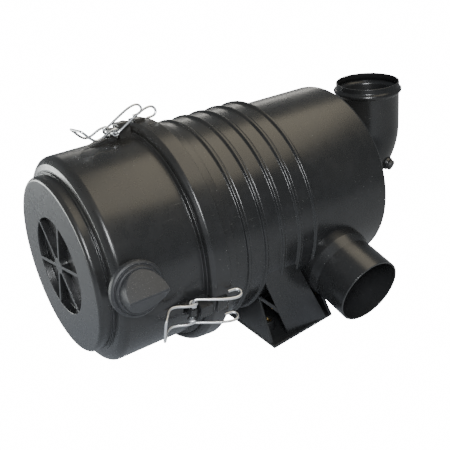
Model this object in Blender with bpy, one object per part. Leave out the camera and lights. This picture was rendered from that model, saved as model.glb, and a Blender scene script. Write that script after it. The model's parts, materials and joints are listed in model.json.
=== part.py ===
"""Air filter housing of a small engine, as separate solids in metres.

Frame: origin at the middle of the foot's base, +X along the drum towards the outlet, +Z up.
The service cover is at the -X end, the inlet port leans out towards -Y, the elbow points up.
"""
import math

import bpy
import bmesh
from mathutils import Matrix, Vector

# ---- driving dimensions ----
FIT_GAP = 0.0003            # clearance between pieces that seat on each other
EMBED = 0.0006              # how far joined shapes reach into each other
WALL = 0.003                # moulded wall
ROUND = 48                  # segments of a large turned piece
SMALL_ROUND = 24            # segments of a small turned piece

# drum, along X from its lip to its rear face
DRUM_R = 0.1370             # smooth rear part of the drum
REAR_X = 0.158              # rear face of the drum
AXIS_Z = DRUM_R + 0.0330    # drum axis above the foot's base
RIB_ROOT_R = DRUM_R + 0.0062
RIB_TOP_R = RIB_ROOT_R + 0.0030
RIB_COUNT = 5
RIB_PITCH = 0.0283
RIB_HALF = 0.0030
LIP_FRONT_X = -0.1626       # inner front edge of the drum's lip
LIP_EDGE_X = LIP_FRONT_X + 0.0048
LIP_SEAT_X = LIP_FRONT_X + 0.0226    # shoulder that the cover's seal lands on
LIP_REAR_X = LIP_FRONT_X + 0.0272
FIRST_RIB_X = LIP_FRONT_X + 0.0671
LIP_REAR_R = DRUM_R + 0.0230
LIP_FRONT_R = LIP_REAR_R - 0.0028
LIP_BORE_R = LIP_REAR_R - 0.0120

# service cover
COVER_R = DRUM_R + 0.0048
COVER_FLANGE_T = 0.0040
NOSE_X = -0.3000            # flat front of the nose
SHOULDER_X = NOSE_X + 0.0210
NOSE_R = COVER_R - 0.0213
NOSE_FLANGE_R = NOSE_R + 0.0030
NOSE_FLANGE_T = 0.0024
NOSE_EDGE = 0.0050
RECESS_R = 0.0666
RECESS_DEPTH = 0.0060
HUB_R = 0.0110
SPOKES = 6
SPOKE_W = 0.0070
SEAL_T = 0.0022

# sleeves and filter elements
SLEEVE_R = DRUM_R - 0.0220
SLEEVE_T = 0.0022
GUIDE_FRONT_X = LIP_FRONT_X + 0.1026
DUST_REAR_X = LIP_FRONT_X + 0.0126
SPIGOT_R = 0.0500           # spigot inside the drum that carries the elements
SPIGOT_BORE_R = SPIGOT_R - 0.0030
SPIGOT_LEN = 0.030
CAP_T = 0.012
PRIMARY_R = SLEEVE_R - 0.0150
PRIMARY_BORE_R = SPIGOT_R + 0.0100
PRIMARY_FRONT_X = NOSE_X + 0.0820
PLEATS = 40
PLEAT_T = 0.0060            # paper wall of a fold, measured towards the drum axis
CORE_T = 0.0027
SAFETY_R = SPIGOT_BORE_R - 0.0040
SAFETY_BORE_R = SAFETY_R - 0.0070
SAFETY_FRONT_X = PRIMARY_FRONT_X + 0.0280

# outlet elbow
OUTLET_R = SPIGOT_R - 0.0004
OUTLET_WALL = 0.0021
ELBOW_BEND_R = OUTLET_R + 0.0064
ELBOW_REACH = ELBOW_BEND_R + 0.0360  # rear face to the middle of the upright tube
ELBOW_MOUTH_Z = AXIS_Z + 0.1263
ELBOW_FLANGE_R = OUTLET_R + 0.0084
ELBOW_FLANGE_T = 0.0050
ELBOW_SEAL_T = 0.0020
BEAD_R = OUTLET_R + 0.0038
BEAD_DROP = 0.0130
BEAD_HALF = 0.0050
PORT_R = 0.0055             # service indicator's port on the elbow
PORT_BOSS_R = PORT_R + 0.0050
PORT_BOSS_PROUD = 0.0050

# inlet port
INLET_X = 0.0628
INLET_MOUTH_Y = -(DRUM_R + 0.0610)
INLET_MOUTH_Z = AXIS_Z - 0.0956
INLET_R = 0.0499
INLET_WALL = 0.0027
INLET_TILT = math.radians(15.5)

# foot
FOOT_LEN = 0.1174
FOOT_FRONT_HALF = DRUM_R - 0.0030
FOOT_REAR_HALF = DRUM_R - 0.0148
FOOT_T = 0.0050
FOOT_WALL = 0.0040
INSERT_X = FOOT_LEN / 2 - 0.0207
INSERT_Y = FOOT_REAR_HALF - 0.0302
INSERT_R = 0.0065
INSERT_BORE_R = INSERT_R - 0.0023
INSERT_H = 0.016
BOSS_R = INSERT_R + 0.0040
PLATE_LEAN = 0.0150         # how far a side plate leans out on its way up
PLATE_TOP_Z = AXIS_Z - 0.0100
STRUT_Y = FOOT_REAR_HALF + 0.0058

# dust valve
VALVE_X = SHOULDER_X + 0.0180
VALVE_ANGLE = 173.0
VALVE_RING_R = 0.0350
VALVE_BORE_R = VALVE_RING_R - 0.0120
VALVE_SPOUT_R = COVER_R + 0.0052     # mouth of the dust spout from the drum axis
VALVE_ROOT_R = SLEEVE_R + 0.0030     # inner end of the dust spout
VALVE_PROUD = 0.0390

# latches
LATCH_ANGLES = (81.5, 197.5, 319.5)
LATCH_X = LIP_FRONT_X - 0.0264       # pivot of a latch along the drum
LATCH_R = COVER_R + 0.0117           # pivot of a latch from the drum axis
WIRE_R = 0.00175
BRACKET_HALF = 0.0110
LUG_HALF = BRACKET_HALF - 0.0050
EYE_R = 2 * WIRE_R + 0.0009          # centre line of the eye that a handle turns on
EYE_HALF = LUG_HALF + 0.0085         # middle of the bracket to the middle of an eye
HOOK_HALF = EYE_HALF + 3 * WIRE_R + 0.00145


# ---- helpers ----
def material(name, colour, roughness, metallic=0.0):
    """A Principled material with a flat colour."""
    found = bpy.data.materials.get(name)
    if found:
        return found
    made = bpy.data.materials.new(name)
    made.use_nodes = True
    shader = made.node_tree.nodes["Principled BSDF"]
    shader.inputs["Base Color"].default_value = (*colour, 1.0)
    shader.inputs["Roughness"].default_value = roughness
    shader.inputs["Metallic"].default_value = metallic
    return made


def finish_mesh(bm, name, mat=None, sharp=35.0):
    """Turn a bmesh into a named object with outward faces and smooth shading."""
    bmesh.ops.recalc_face_normals(bm, faces=bm.faces[:])
    mesh = bpy.data.meshes.new(name)
    bm.to_mesh(mesh)
    bm.free()
    mesh.shade_smooth()
    mesh.set_sharp_from_angle(angle=math.radians(sharp))
    obj = bpy.data.objects.new(name, mesh)
    bpy.context.collection.objects.link(obj)
    if mat:
        mesh.materials.append(mat)
    return obj


def loft(rings, name, mat=None, closed=False, caps=True):
    """Join rings of points; a ring of one point is a pole. closed joins the last to the first."""
    bm = bmesh.new()
    rows = [[bm.verts.new(p) for p in ring] for ring in rings]
    pairs = list(zip(rows, rows[1:]))
    if closed:
        pairs.append((rows[-1], rows[0]))
    for low, high in pairs:
        count = max(len(low), len(high))
        for j in range(count):
            k = (j + 1) % count
            corners = []
            for corner in (low[j % len(low)], low[k % len(low)], high[k % len(high)], high[j % len(high)]):
                if corner not in corners:
                    corners.append(corner)
            bm.faces.new(corners)
    if caps and not closed:
        for end in (rows[0], rows[-1]):
            if len(end) > 2:
                bm.faces.new(end)
    return finish_mesh(bm, name, mat)


def turned(profile, name, mat=None, segments=ROUND, closed=True, axis=None):
    """Revolve (x, r) points about the drum axis, or about the axis that the matrix gives."""
    place = axis or Matrix.Translation((0, 0, AXIS_Z))
    rings = []
    for x, r in profile:
        if r <= 0.0:
            rings.append([place @ Vector((x, 0, 0))])
            continue
        turn = [math.tau * (j + 0.5) / segments for j in range(segments)]
        rings.append([place @ Vector((x, r * math.cos(a), r * math.sin(a))) for a in turn])
    return loft(rings, name, mat, closed=closed, caps=False)


def solid_rod(x0, x1, r, name, axis, segments=SMALL_ROUND, mat=None):
    """A plain rod from x0 to x1 along a placed axis."""
    return turned([(x0, 0), (x0, r), (x1, r), (x1, 0)], name, mat, segments, False, axis)


def prism(outline, shift, name, mat=None):
    """A flat outline of 3-D points, given thickness by a shift."""
    shift = Vector(shift)
    near = [Vector(p) for p in outline]
    return loft([near, [p + shift for p in near]], name, mat)


def box(low, high, name, mat=None, place=None):
    """A block between two corners, optionally placed by a matrix."""
    place = place or Matrix.Identity(4)
    (x0, y0, z0), (x1, y1, z1) = low, high
    ring = [(x0, y0), (x1, y0), (x1, y1), (x0, y1)]
    rings = [[place @ Vector((x, y, z)) for x, y in ring] for z in (z0, z1)]
    return loft(rings, name, mat)


def guide(obj):
    """Mark an object as a construction shape that is not part of the model."""
    obj.hide_render = True
    obj.display_type = "WIRE"
    return obj


def join(target, tool, how="UNION"):
    """Leave a Boolean on the target that adds or cuts the tool."""
    mod = target.modifiers.new(tool.name, "BOOLEAN")
    mod.operation = how
    mod.solver = "EXACT"
    mod.object = guide(tool)


def sweep(path, radius, name, mat, sides=8):
    """A round wire along a path, with flat ends."""
    path = [Vector(p) for p in path]
    rings = []
    side = None
    for i, here in enumerate(path):
        ahead = path[min(i + 1, len(path) - 1)]
        behind = path[max(i - 1, 0)]
        along = (ahead - behind).normalized()
        if side is None:
            side = along.orthogonal().normalized()
        side = (side - along * side.dot(along)).normalized()
        up = along.cross(side)
        turn = [math.tau * j / sides for j in range(sides)]
        rings.append([here + radius * (math.cos(a) * side + math.sin(a) * up) for a in turn])
    return loft(rings, name, mat)


def radial_frame(angle_deg, x=0.0):
    """Local axes at a place around the drum: X along the drum, Y sideways, Z outwards."""
    a = math.radians(angle_deg)
    out = Vector((0, math.cos(a), math.sin(a)))
    along = Vector((1, 0, 0))
    aside = out.cross(along)
    return Matrix((
        (along.x, aside.x, out.x, x),
        (along.y, aside.y, out.y, 0.0),
        (along.z, aside.z, out.z, AXIS_Z),
        (0, 0, 0, 1),
    ))


# ---- materials ----
PLASTIC = material("black_plastic", (0.055, 0.053, 0.048), 0.42)
DARK_PLASTIC = material("grey_plastic", (0.10, 0.10, 0.10), 0.5)
RUBBER = material("black_rubber", (0.05, 0.05, 0.05), 0.75)
WIRE = material("zinc_wire", (0.78, 0.79, 0.80), 0.28, 1.0)
BRASS = material("brass_insert", (0.62, 0.48, 0.24), 0.35, 1.0)
PAPER = material("filter_paper", (0.80, 0.70, 0.48), 0.9)
FELT = material("safety_felt", (0.85, 0.85, 0.82), 0.95)
URETHANE = material("urethane_cap", (0.16, 0.16, 0.17), 0.7)
MESH_METAL = material("perforated_steel", (0.55, 0.56, 0.57), 0.4, 1.0)


# ---- drum ----
def drum_profile():
    """Section of the drum's wall: outside from the lip to the rear, then inside back to the lip."""
    mid_r = LIP_BORE_R + 0.0003
    points = [(LIP_FRONT_X, LIP_BORE_R), (LIP_FRONT_X, LIP_BORE_R + 0.0008)]
    points += [(LIP_EDGE_X, LIP_FRONT_R), (LIP_REAR_X, LIP_REAR_R), (LIP_REAR_X + 0.0025, mid_r + 0.0026)]
    points += [(LIP_REAR_X + 0.0164, mid_r + 0.0016), (LIP_REAR_X + 0.0189, RIB_ROOT_R + 0.0008)]
    for n in range(RIB_COUNT):
        x = FIRST_RIB_X + n * RIB_PITCH
        points += [(x - RIB_HALF, RIB_ROOT_R), (x - 0.4 * RIB_HALF, RIB_TOP_R)]
        points += [(x + 0.4 * RIB_HALF, RIB_TOP_R)]
        if n < RIB_COUNT - 1:
            points += [(x + RIB_HALF, RIB_ROOT_R)]
    step_x = FIRST_RIB_X + (RIB_COUNT - 1) * RIB_PITCH + 2.2 * RIB_HALF
    points += [(step_x, DRUM_R), (REAR_X - 0.004, DRUM_R), (REAR_X, DRUM_R - 0.004)]
    inner = DRUM_R - WALL
    floor_x = REAR_X - WALL
    tip_x = floor_x - SPIGOT_LEN
    points += [(REAR_X, SPIGOT_BORE_R), (tip_x, SPIGOT_BORE_R), (tip_x, SPIGOT_R), (floor_x, SPIGOT_R)]
    points += [(floor_x, inner), (LIP_SEAT_X, inner), (LIP_SEAT_X, LIP_BORE_R)]
    return points


def inlet_axis():
    """Matrix whose +X runs out of the inlet port, with its origin at the mouth."""
    out = Vector((0, -math.cos(INLET_TILT), -math.sin(INLET_TILT)))
    side = Vector((1, 0, 0))
    up = out.cross(side)
    m = Matrix.Identity(4)
    for row in range(3):
        m[row][0], m[row][1], m[row][2] = out[row], side[row], up[row]
    m.translation = Vector((INLET_X, INLET_MOUTH_Y, INLET_MOUTH_Z))
    return m


def plate_y(z):
    """Outer face of a side plate of the foot, which leans out towards the drum's flank."""
    return FOOT_REAR_HALF + 0.0018 + PLATE_LEAN * min(z / PLATE_TOP_Z, 1.0)


def foot_plate(side):
    """Broad leaning plate between the drum's flank and the base."""
    low = FOOT_T - EMBED
    outline = [(-0.083, AXIS_Z - 0.015), (-0.026, low), (0.046, low), (-0.036, AXIS_Z)]
    points = [(x, side * plate_y(z), z) for x, z in outline]
    return prism(points, (0, -side * FOOT_WALL, 0), "plate")


def foot_fin(side):
    """Thin rib that runs beside the plate from the flank down to the rear corner."""
    low, end = FOOT_T - EMBED, FOOT_LEN / 2 - 0.0015
    outline = [(-0.026, AXIS_Z + 0.030), (-0.021, AXIS_Z + 0.030), (end, low), (end - 0.005, low)]
    points = [(x, side * (DRUM_R - 0.0035 if z > low else plate_y(z)), z) for x, z in outline]
    return prism(points, (0, -side * 0.030, 0), "fin")


def foot_shapes():
    """The moulded foot: base, front wall, leaning side plates, fins, webs and screw bosses."""
    half = FOOT_LEN / 2
    f, r = FOOT_FRONT_HALF, FOOT_REAR_HALF
    base = [(-half, -f, 0), (half, -r, 0), (half, r, 0), (-half, f, 0)]
    shapes = [prism(base, (0, 0, FOOT_T), "foot_base")]
    x, low = EMBED - half, FOOT_T - EMBED
    wall = [(x, 0.006 - f, low), (x, f - 0.006, low), (x, f - 0.036, AXIS_Z - 0.090), (x, 0.036 - f, AXIS_Z - 0.090)]
    shapes.append(prism(wall, (FOOT_WALL, 0, 0), "foot_front"))
    x = half - EMBED
    back = [(x, 0.01 - r, low), (x, r - 0.01, low), (x, r - 0.037, AXIS_Z - 0.105), (x, 0.037 - r, AXIS_Z - 0.105)]
    shapes.append(prism(back, (-FOOT_WALL, 0, 0), "foot_back"))
    for side in (-1, 1):
        shapes += [foot_plate(side), foot_fin(side)]
        strut = [(-0.062, 0.078), (-0.060, 0.070), (-0.036, 0.040), (-0.036, 0.052)]
        strut = [(x, side * STRUT_Y, z) for x, z in strut]
        shapes.append(prism(strut, (0, -side * 0.060, 0), "strut"))
        for x in (-INSERT_X, INSERT_X):
            up = Matrix.Translation((x, side * INSERT_Y, 0)) @ Matrix.Rotation(-math.pi / 2, 4, "Y")
            shapes.append(solid_rod(EMBED, INSERT_H + 0.004, BOSS_R, "boss", up))
    return shapes


def make_drum():
    """The moulded drum with its ribs, lip, latch pads, inlet port and foot."""
    drum = turned(drum_profile(), "housing_body", PLASTIC)
    port = inlet_axis()
    reach = (abs(INLET_MOUTH_Y) - DRUM_R + 0.047) / math.cos(INLET_TILT)
    for shape in foot_shapes():
        join(drum, shape)
    for angle in LATCH_ANGLES:
        pad = box((LIP_EDGE_X + 0.001, -BRACKET_HALF, LIP_BORE_R + 0.002),
                  (LIP_REAR_X - 0.006, BRACKET_HALF, LIP_REAR_R + 0.0025), "latch_pad",
                  place=radial_frame(angle))
        join(drum, pad)
    join(drum, solid_rod(-reach, 0, INLET_R, "inlet_outside", port, 36))
    clear_r = DRUM_R - WALL - 0.0002
    space = [(LIP_SEAT_X + 0.0004, 0.060), (LIP_SEAT_X + 0.0004, clear_r),
             (REAR_X - WALL - 0.0004, clear_r), (REAR_X - WALL - 0.0004, 0.060)]
    join(drum, turned(space, "drum_space"), "DIFFERENCE")
    join(drum, solid_rod(-reach - 0.02, 0.01, INLET_R - INLET_WALL, "inlet_bore", port, 36), "DIFFERENCE")
    for side in (-1, 1):
        for x in (-INSERT_X, INSERT_X):
            up = Matrix.Translation((x, side * INSERT_Y, 0)) @ Matrix.Rotation(-math.pi / 2, 4, "Y")
            hole = solid_rod(-0.01, INSERT_H + 0.001, INSERT_R + FIT_GAP, "insert_hole", up)
            join(drum, hole, "DIFFERENCE")
    return drum


def make_inserts():
    """Four threaded brass inserts pressed into the foot."""
    names = {(-1, -1): "foot_insert_front_near", (-1, 1): "foot_insert_front_far",
             (1, -1): "foot_insert_rear_near", (1, 1): "foot_insert_rear_far"}
    for (ix, iy), name in names.items():
        up = Matrix.Translation((ix * INSERT_X, iy * INSERT_Y, 0)) @ Matrix.Rotation(-math.pi / 2, 4, "Y")
        profile = [(0.0002, INSERT_BORE_R), (0.0002, INSERT_R), (INSERT_H, INSERT_R), (INSERT_H, INSERT_BORE_R)]
        turned(profile, name, BRASS, 16, True, up)


# ---- outlet ----
def make_elbow():
    """Right-angle outlet tube with a flange at the drum and a hose bead at its mouth."""
    start = REAR_X + FIT_GAP + ELBOW_SEAL_T
    mid_x = REAR_X + ELBOW_REACH
    stations = []
    flange_end = start + ELBOW_FLANGE_T
    for x, r in ((start, ELBOW_FLANGE_R), (flange_end, ELBOW_FLANGE_R), (flange_end, OUTLET_R)):
        stations.append((Vector((x, 0, AXIS_Z)), 0.0, r))
    centre = Vector((mid_x - ELBOW_BEND_R, 0, AXIS_Z + ELBOW_BEND_R))
    for step in range(0, 9):
        a = math.radians(90 * step / 8)
        place = centre + ELBOW_BEND_R * Vector((math.sin(a), 0, -math.cos(a)))
        stations.append((place, a, OUTLET_R))
    bead_z = ELBOW_MOUTH_Z - BEAD_DROP
    for z, r in ((bead_z - BEAD_HALF, OUTLET_R), (bead_z - 0.3 * BEAD_HALF, BEAD_R),
                 (bead_z + 0.3 * BEAD_HALF, BEAD_R), (bead_z + BEAD_HALF, OUTLET_R),
                 (ELBOW_MOUTH_Z, OUTLET_R)):
        stations.append((Vector((mid_x, 0, z)), math.pi / 2, r))
    rings = [elbow_ring(*station) for station in stations]
    bore = [(place, a, OUTLET_R - OUTLET_WALL) for place, a, r in stations if r == OUTLET_R or a == 0.0]
    bore = [bore[0]] + bore[3:]
    rings += [elbow_ring(*station) for station in reversed(bore)]
    elbow = loft(rings, "outlet_elbow", PLASTIC, closed=True)
    boss = indicator_axis()
    join(elbow, solid_rod(-0.012, PORT_BOSS_PROUD, PORT_BOSS_R, "indicator_boss", boss))
    bore_tool = loft([elbow_ring(*s) for s in bore], "elbow_bore_tool")
    join(elbow, bore_tool, "DIFFERENCE")
    join(elbow, solid_rod(-0.02, 0.02, PORT_R + FIT_GAP, "indicator_hole", boss), "DIFFERENCE")
    return elbow


def elbow_ring(place, turn, r, segments=32):
    """Circle of the elbow at a place, with its axis turned from +X towards +Z."""
    across = Vector((-math.sin(turn), 0, math.cos(turn)))
    side = Vector((0, 1, 0))
    angles = [math.tau * (j + 0.5) / segments for j in range(segments)]
    return [place + r * (math.cos(a) * side + math.sin(a) * across) for a in angles]


def indicator_axis():
    """Matrix whose +X points out of the service indicator's port on the elbow."""
    a = math.radians(45)
    out = Vector((0.35, -0.86, -0.37)).normalized()
    centre = Vector((REAR_X + ELBOW_REACH - ELBOW_BEND_R * (1 - math.sin(a)), 0,
                     AXIS_Z + ELBOW_BEND_R * (1 - math.cos(a))))
    side = out.orthogonal().normalized()
    up = out.cross(side)
    m = Matrix.Identity(4)
    for row in range(3):
        m[row][0], m[row][1], m[row][2] = out[row], side[row], up[row]
    m.translation = centre + out * (OUTLET_R - 0.0005)
    return m


def make_outlet_trim():
    """Seal ring behind the elbow and the plug in the indicator port."""
    ring = [(REAR_X + FIT_GAP, SPIGOT_BORE_R + 0.001), (REAR_X + FIT_GAP, ELBOW_FLANGE_R - 0.002)]
    ring += [(REAR_X + ELBOW_SEAL_T, ELBOW_FLANGE_R - 0.002), (REAR_X + ELBOW_SEAL_T, SPIGOT_BORE_R + 0.001)]
    turned(ring, "elbow_seal", RUBBER, 36)
    head_x = PORT_BOSS_PROUD + FIT_GAP
    plug = [(-0.004, 0), (-0.004, PORT_R), (head_x, PORT_R), (head_x, PORT_R + 0.003),
            (head_x + 0.004, PORT_R + 0.003), (head_x + 0.0055, PORT_R + 0.001), (head_x + 0.0055, 0)]
    turned(plug, "indicator_plug", DARK_PLASTIC, 16, False, indicator_axis())


# ---- service cover ----
def cover_profile():
    """Section of the cover: nose and side from the front pole to the rim, then the inside to its pole."""
    flange_x = LIP_FRONT_X - 0.0010
    rim_x = LIP_SEAT_X - FIT_GAP * 2 - SEAL_T
    nose_root = SHOULDER_X - 0.0032
    pocket_x = NOSE_X + RECESS_DEPTH
    inner = COVER_R - WALL
    nose_in = NOSE_R - WALL
    return [
        (NOSE_X, 0.0), (NOSE_X, HUB_R), (pocket_x, HUB_R), (pocket_x, RECESS_R - 0.006), (NOSE_X, RECESS_R),
        (NOSE_X, NOSE_R - NOSE_EDGE), (NOSE_X + 0.3 * NOSE_EDGE, NOSE_R - 0.3 * NOSE_EDGE),
        (NOSE_X + NOSE_EDGE, NOSE_R), (nose_root - NOSE_FLANGE_T, NOSE_R), (nose_root - NOSE_FLANGE_T, NOSE_FLANGE_R),
        (nose_root, NOSE_FLANGE_R), (nose_root, NOSE_FLANGE_R + 0.004), (SHOULDER_X, NOSE_FLANGE_R + 0.010),
        (SHOULDER_X + 0.005, COVER_R - 0.0022), (SHOULDER_X + 0.012, COVER_R), (flange_x, COVER_R),
        (flange_x, LIP_BORE_R - FIT_GAP), (flange_x + COVER_FLANGE_T, LIP_BORE_R - FIT_GAP),
        (flange_x + COVER_FLANGE_T, COVER_R), (rim_x, COVER_R), (rim_x, inner), (SHOULDER_X + 0.013, inner),
        (SHOULDER_X + 0.001, nose_in), (NOSE_X + WALL + 0.003, nose_in), (NOSE_X + WALL, nose_in - 0.003),
        (NOSE_X + WALL, RECESS_R + WALL), (pocket_x + WALL, RECESS_R - 0.003), (pocket_x + WALL, 0.0),
    ]


def valve_axis():
    """Matrix whose +X points out of the dust valve, with its origin at the spout's mouth."""
    a = math.radians(VALVE_ANGLE)
    out, side = Vector((0, math.cos(a), math.sin(a))), Vector((1, 0, 0))
    up = out.cross(side)
    m = Matrix.Identity(4)
    for row in range(3):
        m[row][0], m[row][1], m[row][2] = out[row], side[row], up[row]
    m.translation = Vector((VALVE_X, 0, AXIS_Z)) + out * VALVE_SPOUT_R
    return m


def make_cover():
    """The moulded service cover with its nose, spokes, latch brackets and dust spout."""
    cover = turned(cover_profile(), "service_cover", PLASTIC, closed=False)
    spout = valve_axis()
    root = VALVE_ROOT_R - VALVE_SPOUT_R
    join(cover, solid_rod(root, 0, VALVE_BORE_R + WALL, "spout", spout, 32))
    for angle in LATCH_ANGLES:
        for shape in bracket_shapes(angle):
            join(cover, shape)
    for n in range(SPOKES):
        place = Matrix.Translation((0, 0, AXIS_Z)) @ Matrix.Rotation(math.tau * n / SPOKES, 4, "X")
        spoke = box((NOSE_X, -SPOKE_W / 2, 0.004), (NOSE_X + RECESS_DEPTH + 0.001, SPOKE_W / 2, RECESS_R + 0.002),
                    "spoke", place=place)
        join(cover, spoke)
    join(cover, solid_rod(root - 0.01, 0.02, VALVE_BORE_R, "spout_bore", spout, 32), "DIFFERENCE")
    for angle in LATCH_ANGLES:
        join(cover, axle_rod(angle, WIRE_R + FIT_GAP, LUG_HALF + 0.002, "axle_hole"), "DIFFERENCE")
    return cover


def bracket_shapes(angle):
    """Ramp, pin lug and stop block that carry one bail."""
    place = radial_frame(angle)
    root = COVER_R - 0.0015
    half = BRACKET_HALF - 0.0015
    ramp = [(LATCH_X - 0.043, root), (LATCH_X - 0.010, root), (LATCH_X - 0.010, COVER_R + 0.006)]
    ramp = prism([place @ Vector((x, -half, h)) for x, h in ramp], place.to_3x3() @ Vector((0, 2 * half, 0)), "ramp")
    lug = box((LATCH_X - 0.0045, -LUG_HALF, root), (LATCH_X + 0.0045, LUG_HALF, LATCH_R + WIRE_R + 0.0025),
              "lug", place=place)
    block = box((LATCH_X + 0.0075, -half, root), (LIP_FRONT_X - 0.0012, half, LIP_REAR_R + 0.0025), "block", place=place)
    return ramp, lug, block


def axle_rod(angle, radius, half, name):
    """A rod along the pivot of the latch at an angle around the drum."""
    place = radial_frame(angle)
    along = place @ Matrix.Translation((LATCH_X, 0, LATCH_R)) @ Matrix.Rotation(math.pi / 2, 4, "Z")
    return solid_rod(-half, half, radius, name, along, 12)


def make_cover_trim():
    """Seal ring on the cover's rim and the sleeve inside the cover."""
    x0 = LIP_SEAT_X - FIT_GAP - SEAL_T
    ring = [(x0, COVER_R - WALL), (x0, COVER_R), (x0 + SEAL_T, COVER_R), (x0 + SEAL_T, COVER_R - WALL)]
    turned(ring, "cover_seal", RUBBER)
    front = NOSE_X + RECESS_DEPTH + WALL + 0.004
    sleeve = [(front, SLEEVE_R - SLEEVE_T), (front, SLEEVE_R), (DUST_REAR_X, SLEEVE_R),
              (DUST_REAR_X, SLEEVE_R - SLEEVE_T)]
    turned(sleeve, "dust_sleeve", DARK_PLASTIC)


def make_valve():
    """Rubber dust valve: a stepped ring with a duckbill that ends in a slit along the drum."""
    place = valve_axis()
    body = [(FIT_GAP, VALVE_BORE_R - 0.004), (FIT_GAP, VALVE_RING_R), (0.010, VALVE_RING_R),
            (0.012, VALVE_RING_R - 0.002), (0.012, VALVE_RING_R * 0.82), (0.017, VALVE_RING_R * 0.80),
            (0.017, VALVE_BORE_R - 0.004)]
    valve = turned(body, "dust_valve", RUBBER, 32, True, place)
    rings = []
    bill = VALVE_BORE_R + 0.0035
    for depth, wide, thick in ((0.006, bill, bill), (0.018, bill, bill - 0.0030),
                               (0.030, bill - 0.0010, 0.0110), (VALVE_PROUD, bill - 0.0030, 0.0022)):
        rings.append([place @ Vector((depth, wide * math.cos(a), thick * math.sin(a)))
                      for a in (math.tau * j / 32 for j in range(32))])
    join(valve, loft(rings, "duckbill"))
    inside = []
    throat = bill - 0.0080
    for depth, wide, thick in ((-0.002, throat, throat), (0.014, throat, throat - 0.0005),
                               (0.030, throat - 0.0005, 0.0060)):
        inside.append([place @ Vector((depth, wide * math.cos(a), thick * math.sin(a)))
                       for a in (math.tau * j / 32 for j in range(32))])
    join(valve, loft(inside, "duckbill_inside"), "DIFFERENCE")
    return valve


# ---- latches ----
def mirrored(half):
    """A wire route and its mirror image across the latch's middle."""
    return half + [Vector((p.x, -p.y, p.z)) for p in reversed(half)]


def hook_path():
    """Route of a hook wire from tip to tip, in (along, aside, out) from its pivot."""
    outer = [(0.0455, 0.0086), (0.0530, 0.0088), (0.0580, 0.0105), (0.0605, 0.0145), (0.0590, 0.0195),
             (0.0550, 0.0225), (0.0480, 0.0225), (0.0360, 0.0185), (0.0180, 0.0090), (0.0050, 0.0018)]
    half = [Vector((s, HOOK_HALF, h)) for s, h in outer]
    half += [Vector((0.0012, HOOK_HALF - 0.0008, 0.0002)), Vector((0, HOOK_HALF - 0.0026, 0))]
    return mirrored(half + [Vector((0, 0.004, 0))])


def handle_path():
    """Route of a handle wire: an eye on the pivot, a leg, the raised grip and back."""
    pitch = 2 * WIRE_R + 0.0005
    half = []
    turns = 12
    for step in range(turns + 1):
        a = math.radians(-285 + 375 * step / turns)
        aside = EYE_HALF - pitch / 2 + pitch * step / turns
        half.append(Vector((EYE_R * math.cos(a), aside, EYE_R * math.sin(a))))
    legs = [(-0.0090, 0.0002, 0.0036), (-0.0230, 0.0010, -0.0038), (-0.0330, 0.0018, -0.0038),
            (-0.0440, 0.0018, 0.0095), (-0.0465, 0.0008, 0.0122), (-0.0475, -0.0022, 0.0132)]
    half += [Vector((s, EYE_HALF + pitch / 2 + y, h)) for s, y, h in legs]
    return mirrored(half)


def make_latches():
    """Three wire latches: a pair of hooks on an axle, and a handle whose eyes turn on it."""
    for number, angle in enumerate(LATCH_ANGLES, start=1):
        place = radial_frame(angle) @ Matrix.Translation((LATCH_X, 0, LATCH_R))
        sweep([place @ p for p in hook_path()], WIRE_R, f"latch_hook_{number}", WIRE)
        sweep([place @ p for p in handle_path()], WIRE_R, f"latch_handle_{number}", WIRE)


# ---- filter elements ----
def make_primary():
    """Pleated primary element with its liner and two moulded caps."""
    rear = REAR_X - WALL - FIT_GAP * 2
    media_x = (PRIMARY_FRONT_X + CAP_T + FIT_GAP, rear - CAP_T - FIT_GAP)
    rings = []
    for x in media_x:
        rings.append([Vector((x, r * math.cos(a), AXIS_Z + r * math.sin(a))) for r, a in pleat_points()])
    for x in reversed(media_x):
        rings.append([Vector((x, (r - PLEAT_T) * math.cos(a), AXIS_Z + (r - PLEAT_T) * math.sin(a)))
                      for r, a in pleat_points()])
    loft(rings, "primary_media", PAPER, closed=True)
    core_r = PRIMARY_BORE_R + CORE_T
    core = [(media_x[0], PRIMARY_BORE_R), (media_x[0], core_r), (media_x[1], core_r), (media_x[1], PRIMARY_BORE_R)]
    turned(core, "primary_core", MESH_METAL, 32)
    front, back = PRIMARY_FRONT_X, PRIMARY_FRONT_X + CAP_T
    closed_cap = [(front, 0), (front, PRIMARY_R - 0.002), (front + 0.002, PRIMARY_R), (back, PRIMARY_R), (back, 0)]
    turned(closed_cap, "primary_closed_cap", URETHANE, 40, False)
    bore = SPIGOT_R + FIT_GAP
    open_cap = [(rear - CAP_T, bore), (rear - CAP_T, PRIMARY_R), (rear, PRIMARY_R), (rear, bore)]
    turned(open_cap, "primary_open_cap", URETHANE, 40)


def pleat_points():
    """(radius, angle) around the element, alternating between fold tips and roots."""
    root = PRIMARY_BORE_R + CORE_T + PLEAT_T + 0.0025
    steps = 2 * PLEATS
    return [(PRIMARY_R - 0.0015 if n % 2 else root, math.tau * n / steps) for n in range(steps)]


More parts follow.
